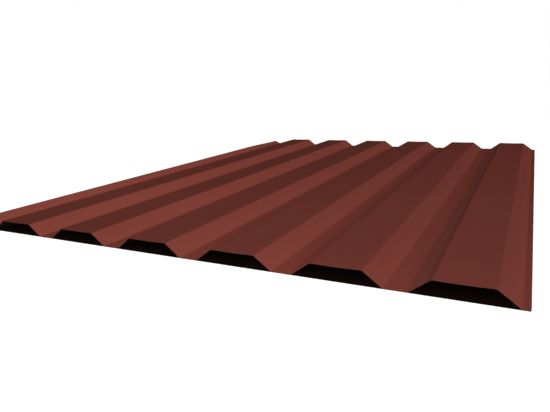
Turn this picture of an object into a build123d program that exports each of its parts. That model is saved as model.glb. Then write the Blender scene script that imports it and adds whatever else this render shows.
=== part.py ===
"""Trapezoidal roofing sheet, roll-formed from one flat strip of coated steel.

The sheet lies flat with its crests up: X runs across it, from the lap leg on the left to the lap
flange on the right, Y along its ribs, and Z up. The origin is at the middle of the underside.
"""

from build123d import *
import math
import os

# Sheet
RIB_COUNT = 6
LENGTH = 1385.0
THICKNESS = 0.5

# Profile, measured between the bend corners of the underside
PITCH = 166.67
DEPTH = 22.0
CREST_WIDTH = 76.0
VALLEY_WIDTH = 31.5

# Inside radius of every bend
BEND_RADIUS = 5.0

# Lap edges: the leg on the left climbs most of a slope, under the last rib of the sheet beside
# it, and the flange on the right is the start of a valley, on the first one of the next sheet
LAP_LEG_HEIGHT = 18.5
LAP_FLANGE_WIDTH = 9.0

# Eased corners of the cut sheet
CORNER_RADIUS = 6.0

slope_run = (PITCH - CREST_WIDTH - VALLEY_WIDTH) / 2
slope_angle = math.degrees(math.atan2(DEPTH, slope_run))
half_crest = CREST_WIDTH / 2


def rib_corners(centre):
    """Underside bend corners of one full rib, left to right."""
    return [
        (centre - half_crest - slope_run, 0),
        (centre - half_crest, DEPTH),
        (centre + half_crest, DEPTH),
        (centre + half_crest + slope_run, 0),
    ]


def underside_corners():
    """Ends and bend corners of the whole underside, with the first rib centre one pitch along."""
    leg_run = LAP_LEG_HEIGHT / math.tan(math.radians(slope_angle))
    valley_start = half_crest + slope_run
    corners = [(valley_start - leg_run, LAP_LEG_HEIGHT), (valley_start, 0)]
    for rib in range(1, RIB_COUNT + 1):
        corners += rib_corners(rib * PITCH)
    flange_end = RIB_COUNT * PITCH + half_crest + slope_run + LAP_FLANGE_WIDTH
    corners.append((flange_end, 0))
    middle = (corners[0][0] + flange_end) / 2
    return [(x - middle, z) for x, z in corners]


def bend_radii(corners):
    """Radius of the underside at each bend: the inside one at a crest, a thickness more in a valley."""
    return [BEND_RADIUS if z > 0 else BEND_RADIUS + THICKNESS for _, z in corners[1:-1]]


def profiled_sheet():
    """The whole sheet: one strip thickness along the underside outline, as long as the ribs."""
    corners = underside_corners()
    with BuildPart() as sheet:
        with BuildSketch(Plane.XZ):
            with BuildLine():
                underside = FilletPolyline(corners, radius=bend_radii(corners))
                offset(underside, amount=THICKNESS, side=Side.LEFT)
            make_face()
        extrude(amount=LENGTH / 2, both=True)
        corner_edges = sheet.edges().filter_by(lambda edge: math.isclose(edge.length, THICKNESS))
        fillet(corner_edges, radius=CORNER_RADIUS)
    return sheet.part


os.makedirs("parts", exist_ok=True)
export_step(profiled_sheet(), "parts/profiled_sheet.step")
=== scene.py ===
"""Trapezoidal roofing sheet in red-brown coated steel, lying on a pale floor."""

import math

import bmesh
import bpy
from mathutils import Euler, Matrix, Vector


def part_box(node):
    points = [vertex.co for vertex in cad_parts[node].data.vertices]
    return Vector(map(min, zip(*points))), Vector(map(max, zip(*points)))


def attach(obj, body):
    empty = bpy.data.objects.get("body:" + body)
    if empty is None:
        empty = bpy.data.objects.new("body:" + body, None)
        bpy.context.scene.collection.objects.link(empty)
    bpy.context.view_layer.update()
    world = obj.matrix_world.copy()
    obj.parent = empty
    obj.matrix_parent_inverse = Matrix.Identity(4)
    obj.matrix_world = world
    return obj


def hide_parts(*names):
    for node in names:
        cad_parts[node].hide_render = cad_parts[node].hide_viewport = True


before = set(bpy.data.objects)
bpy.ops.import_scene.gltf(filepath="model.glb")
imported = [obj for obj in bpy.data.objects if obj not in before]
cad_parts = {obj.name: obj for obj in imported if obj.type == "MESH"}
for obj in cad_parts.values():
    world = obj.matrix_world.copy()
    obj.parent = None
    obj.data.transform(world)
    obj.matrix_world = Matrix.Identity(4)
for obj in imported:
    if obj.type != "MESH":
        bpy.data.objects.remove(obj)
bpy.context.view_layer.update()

# Sheet and profile, in metres, as the part's source has them
RIB_COUNT = 6
PITCH = 0.16667
DEPTH = 0.022
THICKNESS = 0.0005
CREST_WIDTH = 0.076
VALLEY_WIDTH = 0.0315
BEND_RADIUS = 0.005
LAP_LEG_HEIGHT = 0.0185
LAP_FLANGE_WIDTH = 0.009
CORNER_RADIUS = 0.006

# How far the flats wave out of true between their bends, and how wide a wave is
CREST_WAVE = 0.0009
CREST_WAVE_SIZE = 0.11
VALLEY_WAVE = 0.0005
VALLEY_WAVE_SIZE = 0.09

# How far the lap leg droops at its far end, how far along it starts to, and the strip at its foot
# that stays in place
LEG_DROOP = 0.004
DROOP_START = 0.45
FIRM_FOOT = 0.004

# Cuts between the bends of each kind of flat, with the longest and shortest end edge of that kind
CREST_CUTS = (11, 1, 0.06)
SLOPE_CUTS = (5, 0.04, 0.0295)
VALLEY_AND_LEG_CUTS = (4, 0.0295, 0.012)
LENGTHWISE_CUTS = 109
BEND_SEGMENTS = 6
CORNER_SEGMENTS = 4

# Points nearer than this to a line or plane count as on it
ON_LINE = 0.00001

# Colours
COAT = (0.156, 0.037, 0.027)
# Painted shade, then painted light, on the upper coat
PAINTED_SHADE_COAT = (0.109, 0.028, 0.021)
LEFT_SLOPE_LIGHT_COAT = (0.152, 0.044, 0.033)
# The underside, darkened as painted shade, then the cut edge and the floor
SHADED_BACK = (0.016, 0.011, 0.009)
EDGE = (0.020, 0.008, 0.006)
FLOOR = (0.8, 0.8, 0.8)
# Painted shadow on the floor under the sheet, and black for painted shade on the coat
UNDER_SHEET_SHADOW = (0.006, 0.003, 0.002)
BLACK = (0, 0, 0)

# How far the coat goes from its own colour to the painted shade and light at each place, from 0 to 1
LEFT_CREST_SHADE = 0.76
RIGHT_CREST_SHADE = 0.48
SLOPE_LIGHT = 0.8
FLANGE_SHADE = 0.4
BEND_LINE_SHADE = 0.8
NEAR_LEFT_SHADE = 0.12
FAR_END_SHADE = 0.07

# Where that painted shade and light fade in: heights on the profile, the part of the right slopes'
# run that counts as their foot, widths across the sheet, and places along it
CREST_SHADE_START = 0.965 * DEPTH
LEFT_SLOPE_LIGHT_TOP = 0.93 * DEPTH
RIGHT_FOOT_PART = 0.7
TONE_EDGE = 0.001
LAST_RIB_FADE = 0.09
NEAR_SHADE_START = -0.4
FAR_SHADE_START = 0.3

# Brightness of the two painted light tones against their colours
RIGHT_FOOT_BRIGHTNESS = 1.15
LEFT_SLOPE_BRIGHTNESS = 1.24

# How deep the fine pebbling of the dried coats is
PEEL_DEPTH = 0.00003

# Painted shade line along the left crest bends: half its width to the start and the end of its
# soft edge, the heights at which it fades in, and how far it moves down and widens at the last rib
LINE_CORE = 0.0005
LINE_REACH = 0.0017
LINE_LOWEST = 0.6 * DEPTH
LINE_FULL = 0.9 * DEPTH
LAST_LINE_DROP = 0.004
LAST_LINE_WIDENING = 3

# Floor: its size, its gap below the sheet and how much it glows, how far round the sheet its
# shadow shows fully and at all, how far in from the mouths the painted shadow under the sheet
# starts and ends deepening, and its brightness there
FLOOR_SIZE = 40
FLOOR_GAP = 0.0002
FLOOR_GLOW = 0.8
FULL_SHADOW_REACH = 0.3
SHADOW_REACH = 1.2
DEEPENING_START = 0.002
DEEPENING_END = 0.06
DEEPEST_SHADOW = 0.1

# Room: the glow of its walls and its ceiling, and how far up a line of sight points, from 0 for
# level to 1 for straight up, where the walls start to fade and where the ceiling is reached
WALL_GLOW = 0.48
CEILING_GLOW = 0.05
WALL_END = 0.4
CEILING_START = 0.6

# Soft boxes: their size, and how many degrees up from the floor the sheet sees them
BOX_SIZE = (2.0, 0.5)
BOX_HEIGHT = 9

# The camera of the photograph
CAMERA_PLACE = (0.5001, -1.2976, 0.2720)
CAMERA_TURN = (75.947, 2.234, 26.911)
CAMERA_LENS = 32.54
SENSOR_WIDTH = 36.0

# Sockets of a Mix node that mixes colours
MIX_SHARE = 0
MIX_FIRST = 6
MIX_SECOND = 7
MIX_RESULT = 2

low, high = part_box("profiled_sheet")
length = high.y - low.y
slope_run = (PITCH - CREST_WIDTH - VALLEY_WIDTH) / 2
slope_angle = math.atan2(DEPTH, slope_run)
rib_foot = CREST_WIDTH / 2 + slope_run
last_rib_centre = high.x - LAP_FLANGE_WIDTH - slope_run - CREST_WIDTH / 2
leg_foot = last_rib_centre - RIB_COUNT * PITCH + rib_foot
bend_share = THICKNESS / 2 * math.tan(slope_angle / 2)


def rib_centre(rib):
    """Place across the sheet of a rib's middle line, with ribs counted from the left."""
    return last_rib_centre - (RIB_COUNT - rib) * PITCH


def tint(colour, brightness=1):
    """The colour at a brightness, with the fourth value that a colour socket takes."""
    return (*(channel * brightness for channel in colour), 1)


def part_way(value, start, end):
    """0 before start and 1 after end, smooth between them."""
    share = min(max((value - start) / (end - start), 0), 1)
    return share * share * (3 - 2 * share)


class Shade:
    """One socket of a shader tree, with arithmetic that adds Math nodes."""

    def __init__(self, paint, socket):
        self.paint = paint
        self.socket = socket

    def math(self, operation, *values):
        inputs = dict(enumerate(values))
        return self.paint.node("ShaderNodeMath", {"operation": operation}, inputs)[0]

    def __add__(self, other):
        return self.math("ADD", self, other)

    def __radd__(self, other):
        return self.math("ADD", other, self)

    def __sub__(self, other):
        return self.math("SUBTRACT", self, other)

    def __rsub__(self, other):
        return self.math("SUBTRACT", other, self)

    def __mul__(self, other):
        return self.math("MULTIPLY", self, other)

    def __rmul__(self, other):
        return self.math("MULTIPLY", other, self)

    def __truediv__(self, other):
        return self.math("DIVIDE", self, other)

    def size(self):
        return self.math("ABSOLUTE", self)

    def fraction(self):
        return self.math("FRACT", self)

    def at_most(self, other):
        return self.math("MINIMUM", self, other)

    def rise(self, start, end):
        """0 before start and 1 after end, smooth between them; it falls where end is the lower."""
        settings = {"interpolation_type": "SMOOTHSTEP"}
        inputs = {"Value": self, "From Min": start, "From Max": end}
        return self.paint.node("ShaderNodeMapRange", settings, inputs)["Result"]


class Made:
    """A node's outputs, by name or number."""

    def __init__(self, paint, node):
        self.paint = paint
        self.node = node

    def __getitem__(self, key):
        return Shade(self.paint, self.node.outputs[key])


class Paint:
    """The nodes of a material or of the world."""

    def __init__(self, owner):
        self.owner = owner
        owner.use_nodes = True
        self.tree = owner.node_tree
        self.tree.nodes.clear()

    def node(self, kind, settings=None, inputs=None):
        """Adds a node: its settings are set first, then its sockets by name or number."""
        node = self.tree.nodes.new(kind)
        for name, value in (settings or {}).items():
            setattr(node, name, value)
        for name, value in (inputs or {}).items():
            if isinstance(value, Shade):
                self.tree.links.new(value.socket, node.inputs[name])
            else:
                node.inputs[name].default_value = value
        return Made(self, node)

    def place(self, stretch=(1, 1, 1)):
        """Object coordinates, with each axis multiplied."""
        coordinates = self.node("ShaderNodeTexCoord")["Object"]
        return self.node("ShaderNodeMapping", None, {"Vector": coordinates, "Scale": stretch})[0]

    def axes(self, vector):
        parts = self.node("ShaderNodeSeparateXYZ", None, {0: vector})
        return parts["X"], parts["Y"], parts["Z"]

    def noise(self, scale, detail=2.0, stretch=(1, 1, 1)):
        """Noise about zero, from -0.5 to 0.5."""
        inputs = {"Vector": self.place(stretch), "Scale": scale, "Detail": detail, "Roughness": 0.5}
        return self.node("ShaderNodeTexNoise", None, inputs)[0] - 0.5

    def mix(self, share, first, second):
        inputs = {MIX_SHARE: share, MIX_FIRST: first, MIX_SECOND: second}
        return self.node("ShaderNodeMix", {"data_type": "RGBA"}, inputs)[MIX_RESULT]

    def peel(self, scale, strength):
        """Normals of a coat that dried finely pebbled."""
        inputs = {"Strength": strength, "Distance": PEEL_DEPTH, "Height": self.noise(scale)}
        return self.node("ShaderNodeBump", None, inputs)[0]

    def matt(self, colour, roughness, **more):
        """A surface with no gloss."""
        inputs = {"Base Color": colour, "Roughness": roughness, "Specular IOR Level": 0.0, **more}
        return self.node("ShaderNodeBsdfPrincipled", None, inputs)[0]

    def diffuse(self, colour):
        return self.node("ShaderNodeBsdfDiffuse", None, {"Color": colour})[0]

    def glow(self, strength):
        return self.node("ShaderNodeEmission", None, {"Strength": strength})[0]

    def mix_surfaces(self, share, first, second):
        return self.node("ShaderNodeMixShader", None, {0: share, 1: first, 2: second})[0]

    def seen(self):
        """1 for the rays that show the background to the camera, straight or in gloss and glass."""
        path = self.node("ShaderNodeLightPath")
        shown = path["Is Camera Ray"] + path["Is Glossy Ray"] + path["Is Transmission Ray"]
        return shown.at_most(1)

    def show(self, shader):
        in_world = isinstance(self.owner, bpy.types.World)
        kind = "ShaderNodeOutputWorld" if in_world else "ShaderNodeOutputMaterial"
        self.node(kind, None, {"Surface": shader})
        return self.owner


def bend_line(from_rib, across, up, last_rib):
    """Where the painted shade line shows along the left crest bends, more so towards the last rib.
    """
    off_bend = (from_rib + CREST_WIDTH / 2 + LAST_LINE_DROP * last_rib).size()
    line = (off_bend / (1 + LAST_LINE_WIDENING * last_rib)).rise(LINE_REACH, LINE_CORE)
    return line * up.rise(LINE_LOWEST, LINE_FULL) * across.rise(rib_centre(3), rib_centre(6))


def painted_light_and_shade(paint, colour):
    """Painted shade on crests, bend lines and flange; painted light on left slopes and right slopes'
    foot.

    The painted light greys the left slopes; painted shade darkens the near left and the far end a
    little.
    """
    across, along, up = paint.axes(paint.place())
    from_rib = (((across - rib_centre(1)) / PITCH + 0.5).fraction() - 0.5) * PITCH
    last_rib = across.rise(rib_centre(5), rib_centre(5) + LAST_RIB_FADE)

    # Painted shade: crests darker, most on the left ribs
    crest = up.rise(CREST_SHADE_START, DEPTH)
    to_right = across.rise(rib_centre(2), rib_centre(6))
    crest_shade = LEFT_CREST_SHADE - (LEFT_CREST_SHADE - RIGHT_CREST_SHADE) * to_right
    colour = paint.mix(crest * crest_shade, colour, tint(PAINTED_SHADE_COAT))

    # Painted light: right slopes paler towards their foot
    right_foot = from_rib.rise(rib_foot - RIGHT_FOOT_PART * slope_run, rib_foot)
    right_foot = right_foot * from_rib.rise(rib_foot + TONE_EDGE, rib_foot - TONE_EDGE)
    colour = paint.mix(right_foot * SLOPE_LIGHT, colour, tint(COAT, RIGHT_FOOT_BRIGHTNESS))

    # Painted light: left slopes lighter and greyer, only greyer on the last rib
    left_slope = from_rib.rise(-rib_foot - TONE_EDGE, TONE_EDGE - rib_foot)
    left_slope = left_slope * from_rib.rise(0, -TONE_EDGE) * up.rise(DEPTH, LEFT_SLOPE_LIGHT_TOP)
    left_slope_light = paint.mix(last_rib, tint(LEFT_SLOPE_LIGHT_COAT, LEFT_SLOPE_BRIGHTNESS), tint(LEFT_SLOPE_LIGHT_COAT))
    colour = paint.mix(left_slope * SLOPE_LIGHT, colour, left_slope_light)

    # Painted shade: flange darker
    flange_start = high.x - LAP_FLANGE_WIDTH
    flange = across.rise(flange_start - TONE_EDGE, flange_start + TONE_EDGE)
    colour = paint.mix(flange * FLANGE_SHADE, colour, tint(PAINTED_SHADE_COAT))

    # Painted shade: a darker line along the left crest bends
    line = bend_line(from_rib, across, up, last_rib)
    colour = paint.mix(line * BEND_LINE_SHADE, colour, tint(PAINTED_SHADE_COAT))

    # Painted shade: the near left and the far end of the sheet a little darker
    near_left = along.rise(NEAR_SHADE_START, low.y) * across.rise(rib_centre(4), rib_centre(2))
    far_end = along.rise(FAR_SHADE_START, high.y) * (1 - left_slope)
    return paint.mix(near_left * NEAR_LEFT_SHADE + far_end * FAR_END_SHADE, colour, tint(BLACK))


def colour_coat():
    """Matt paint of the upper side: cloudy, faintly streaked along the ribs, with painted light and
    shade.
    """
    paint = Paint(bpy.data.materials.new("colour_coat"))
    clouds = paint.noise(6.0, detail=3.0, stretch=(1, 0.6, 1))
    streaks = paint.noise(55.0, stretch=(1, 0.03, 1))
    grain = paint.noise(600.0, detail=1.0)
    tone = 0.5 + clouds * 0.55 + streaks * 0.15 + grain * 0.25
    colour = painted_light_and_shade(paint, paint.mix(tone, tint(COAT, 0.92), tint(COAT, 1.08)))
    roughness = 0.62 + clouds * 0.12 + grain * 0.06
    return paint.show(paint.matt(colour, roughness, Normal=paint.peel(1100.0, 0.12)))


def back_coat():
    """Thin underside lacquer, grey-brown made near black as painted shade, with rollers' faint
    streaks.
    """
    paint = Paint(bpy.data.materials.new("back_coat"))
    streaks = paint.noise(90.0, detail=3.0, stretch=(1, 0.02, 1))
    clouds = paint.noise(9.0)
    tone = 0.5 + streaks * 0.5 + clouds * 0.5
    # Underside colour near black as painted shade
    colour = paint.mix(tone, tint(SHADED_BACK, 0.85), tint(SHADED_BACK, 1.15))
    roughness = 0.7 + streaks * 0.1
    return paint.show(paint.matt(colour, roughness, Normal=paint.peel(900.0, 0.15)))


def cut_edge():
    """Edge of the steel between the two coats, dark red-brown, patchily lighter and darker."""
    paint = Paint(bpy.data.materials.new("cut_edge"))
    patches = paint.noise(260.0, detail=3.0).rise(-0.15, 0.15)
    colour = paint.mix(patches, tint(EDGE, 0.7), tint(EDGE, 1.5))
    return paint.show(paint.matt(colour, 0.6 + patches * 0.15))


def select(sheet, kind, wanted):
    """In edit mode, selects the edges or points that pass the test, and nothing else."""
    bpy.ops.mesh.select_mode(type=kind)
    bpy.ops.mesh.select_all(action="DESELECT")
    mesh = bmesh.from_edit_mesh(sheet.data)
    for item in mesh.edges if kind == "EDGE" else mesh.verts:
        item.select = wanted(item)
    mesh.select_flush_mode()
    bmesh.update_edit_mesh(sheet.data)


def along_ribs(edge):
    first, second = (vertex.co for vertex in edge.verts)
    return abs(first.y - second.y) > ON_LINE


def at_corner(vertex):
    """True at the four corners of the strip."""
    at_end = abs(vertex.co.y) > length / 2 - ON_LINE
    return at_end and (vertex.co.x > high.x - ON_LINE or vertex.co.x < low.x + THICKNESS)


def profile_moves():
    """Steps from bend to bend at mid thickness, from the flange on the right to the leg."""
    crest = CREST_WIDTH + 2 * bend_share
    valley = VALLEY_WIDTH - 2 * bend_share
    rib_and_valley = [(-slope_run, DEPTH), (-crest, 0), (-slope_run, -DEPTH), (-valley, 0)]
    moves = rib_and_valley * RIB_COUNT
    leg_rise = LAP_LEG_HEIGHT - THICKNESS / 2 * (1 - math.cos(slope_angle))
    moves.append((-leg_rise / math.tan(slope_angle), leg_rise))
    return moves


def roll_profile():
    """The strip at mid thickness: drawn out bend by bend from the flange, then its bends rounded."""
    bpy.ops.object.select_all(action="DESELECT")
    flange_width = LAP_FLANGE_WIDTH - bend_share
    flange_place = (high.x - flange_width / 2, 0, low.z + THICKNESS / 2)
    bpy.ops.mesh.primitive_plane_add(size=1, location=flange_place)
    sheet = bpy.context.object
    sheet.name = "rolled_sheet"
    sheet.scale = (flange_width, length, 1)
    bpy.ops.object.transform_apply(location=True, rotation=True, scale=True)

    bpy.ops.object.mode_set(mode="EDIT")
    for across, up in profile_moves():
        left = min(vertex.co.x for vertex in bmesh.from_edit_mesh(sheet.data).verts)
        select(sheet, "EDGE", lambda edge: all(end.co.x < left + ON_LINE for end in edge.verts))
        bpy.ops.mesh.extrude_region_move(TRANSFORM_OT_translate={"value": (across, 0, up)})

    select(sheet, "EDGE", lambda edge: along_ribs(edge) and len(edge.link_faces) == 2)
    bend_width = (BEND_RADIUS + THICKNESS / 2) * math.tan(slope_angle / 2)
    bpy.ops.mesh.bevel(offset_type="OFFSET", offset=bend_width, segments=BEND_SEGMENTS,
                       profile=0.5, affect="EDGES")
    return sheet


def divide(sheet):
    """Rows of small faces over the flats, for the waves in them, and then the rounded corners."""
    for cuts, longest, shortest in (CREST_CUTS, SLOPE_CUTS, VALLEY_AND_LEG_CUTS):
        select(sheet, "EDGE", lambda edge: not along_ribs(edge)
               and shortest < edge.calc_length() < longest)
        bpy.ops.mesh.subdivide(number_cuts=cuts)
    select(sheet, "EDGE", along_ribs)
    bpy.ops.mesh.subdivide(number_cuts=LENGTHWISE_CUTS)
    select(sheet, "VERT", at_corner)
    bpy.ops.mesh.bevel(offset_type="OFFSET", offset=CORNER_RADIUS, segments=CORNER_SEGMENTS,
                       profile=0.5, affect="VERTICES")


def lift(sheet, name, height, share, wave_size=None):
    """Raises each point by its share of the height, and unevenly where a wave size is given."""
    group = sheet.vertex_groups.new(name=name)
    for vertex in sheet.data.vertices:
        group.add([vertex.index], share(vertex.co), "REPLACE")
    displace = sheet.modifiers.new(name, "DISPLACE")
    displace.direction = "Z"
    displace.vertex_group = name
    displace.mid_level = 0
    displace.strength = height
    if wave_size:
        displace.texture = bpy.data.textures.new(name, "CLOUDS")
        displace.texture.noise_scale = wave_size
        displace.texture.noise_depth = 1
        displace.texture_coords = "LOCAL"
    bpy.ops.object.modifier_apply(modifier=name)


def in_flats(level, width, centres):
    """A share for each place: 1 in the middle of the flats at a level, and 0 from their bends on."""
    def share(place):
        off_centre = min(abs(place.x - centre) for centre in centres) / (width / 2)
        in_flat = abs(place.z - level) < ON_LINE and off_centre < 1
        return (1 - off_centre ** 2) ** 2 if in_flat else 0
    return share


def droop_share(place):
    """From 0 at the foot of the lap leg and at its near part to 1 at its far tip."""
    up_leg = part_way(leg_foot - place.x, FIRM_FOOT, leg_foot - low.x)
    return up_leg * part_way(place.y, DROOP_START, high.y)


def put_out_of_true(sheet):
    """Shallow waves in the crests and valleys, and the lap leg drooping at its far end."""
    ribs = [rib_centre(rib) for rib in range(1, RIB_COUNT + 1)]
    valleys = [centre - PITCH / 2 for centre in ribs[1:]]
    bends = 2 * (BEND_RADIUS + THICKNESS) * math.tan(slope_angle / 2)
    middle = low.z + THICKNESS / 2
    crest_share = in_flats(middle + DEPTH, CREST_WIDTH - bends, ribs)
    valley_share = in_flats(middle, VALLEY_WIDTH - bends, valleys)
    lift(sheet, "crest_waves", -CREST_WAVE, crest_share, CREST_WAVE_SIZE)
    lift(sheet, "valley_waves", VALLEY_WAVE, valley_share, VALLEY_WAVE_SIZE)
    lift(sheet, "leg_droop", -LEG_DROOP, droop_share)


def thicken(sheet):
    """The steel's thickness, with the second material underneath and the third on the cut edge."""
    solid = sheet.modifiers.new("thickness", "SOLIDIFY")
    solid.thickness = THICKNESS
    solid.offset = 0
    solid.use_even_offset = True
    solid.material_offset = 1
    solid.material_offset_rim = 2
    bpy.ops.object.modifier_apply(modifier=solid.name)
    bpy.ops.object.shade_smooth_by_angle(angle=math.radians(30))
    flat_normals = sheet.modifiers.new("flat_normals", "WEIGHTED_NORMAL")
    flat_normals.mode = "FACE_AREA"
    flat_normals.weight = 100
    flat_normals.keep_sharp = True
    bpy.ops.object.modifier_apply(modifier=flat_normals.name)


def rolled_sheet():
    """The whole sheet, painted."""
    sheet = roll_profile()
    divide(sheet)
    bpy.ops.object.mode_set(mode="OBJECT")
    put_out_of_true(sheet)
    for material in (colour_coat(), back_coat(), cut_edge()):
        sheet.data.materials.append(material)
    thicken(sheet)
    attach(sheet, "root")
    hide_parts("profiled_sheet")


def floor_paint():
    """White to the camera but for the sheet's shadow; painted shadow, nearly black, under the sheet.
    """
    paint = Paint(bpy.data.materials.new("floor_paint"))
    across, along = paint.axes(paint.place())[:2]
    past_side = (across - (leg_foot + high.x) / 2).size() - (high.x - leg_foot) / 2
    past_end = along.size() - length / 2
    under_sheet = past_side.rise(0, -TONE_EDGE) * past_end.rise(0, -TONE_EDGE)
    # Painted shadow under the sheet, deepening away from the mouths
    deep_inside = past_end.rise(-DEEPENING_START, -DEEPENING_END)
    dark = paint.mix(deep_inside, tint(UNDER_SHEET_SHADOW), tint(UNDER_SHEET_SHADOW, DEEPEST_SHADOW))

    lit = paint.diffuse(paint.mix(under_sheet, tint(FLOOR), dark))
    shadowed = paint.diffuse(paint.mix(under_sheet, tint(FLOOR, 0.5), dark))
    glow = paint.glow((1 - under_sheet) * FLOOR_GLOW)
    shadow_on_white = paint.node("ShaderNodeAddShader", None, {0: shadowed, 1: glow})[0]
    near = past_side.rise(SHADOW_REACH, FULL_SHADOW_REACH)
    near = near * past_end.rise(SHADOW_REACH, FULL_SHADOW_REACH)
    shown = paint.mix_surfaces(near, paint.glow(1), shadow_on_white)
    return paint.show(paint.mix_surfaces(paint.seen(), lit, shown))


def floor():
    """Pale floor just below the sheet."""
    bpy.ops.object.select_all(action="DESELECT")
    bpy.ops.mesh.primitive_plane_add(size=FLOOR_SIZE, location=(0, 0, low.z - FLOOR_GAP))
    ground = bpy.context.object
    ground.name = "floor"
    ground.data.materials.append(floor_paint())


def soft_box(name, turn, distance, radiance):
    """A box of light aimed at the sheet, turned so many degrees round it from its right side."""
    light = bpy.data.lights.new(name, "AREA")
    light.shape = "RECTANGLE"
    light.size, light.size_y = BOX_SIZE
    light.energy = math.pi * light.size * light.size_y * radiance
    holder = bpy.data.objects.new(name, light)
    level = distance * math.cos(math.radians(BOX_HEIGHT))
    holder.location = (level * math.cos(math.radians(turn)), level * math.sin(math.radians(turn)),
                       distance * math.sin(math.radians(BOX_HEIGHT)))
    holder.rotation_euler = (-holder.location).to_track_quat("-Z", "Y").to_euler()
    holder.visible_camera = False
    bpy.context.scene.collection.objects.link(holder)


def studio():
    """Soft boxes at the front and back, in a room whose pale walls light the sheet from low down."""
    world = bpy.data.worlds.new("studio")
    bpy.context.scene.world = world
    paint = Paint(world)
    up = paint.axes(paint.node("ShaderNodeTexCoord")["Generated"])[2]
    room = CEILING_GLOW + WALL_GLOW * up.rise(CEILING_START, WALL_END)
    seen = paint.seen()
    inputs = {"Color": (1, 1, 1, 1), "Strength": seen + (1 - seen) * room}
    paint.show(paint.node("ShaderNodeBackground", None, inputs)[0])
    soft_box("front_box", turn=-82, distance=4.0, radiance=152)
    soft_box("back_box", turn=75, distance=3.4, radiance=37)


def camera():
    data = bpy.data.cameras.new("photo_camera")
    data.lens = CAMERA_LENS
    data.sensor_width = SENSOR_WIDTH
    holder = bpy.data.objects.new("photo_camera", data)
    holder.location = CAMERA_PLACE
    holder.rotation_euler = Euler([math.radians(turn) for turn in CAMERA_TURN])
    bpy.context.scene.collection.objects.link(holder)
    bpy.context.scene.camera = holder


rolled_sheet()
floor()
studio()
camera()
bpy.context.scene.view_settings.view_transform = "Standard"
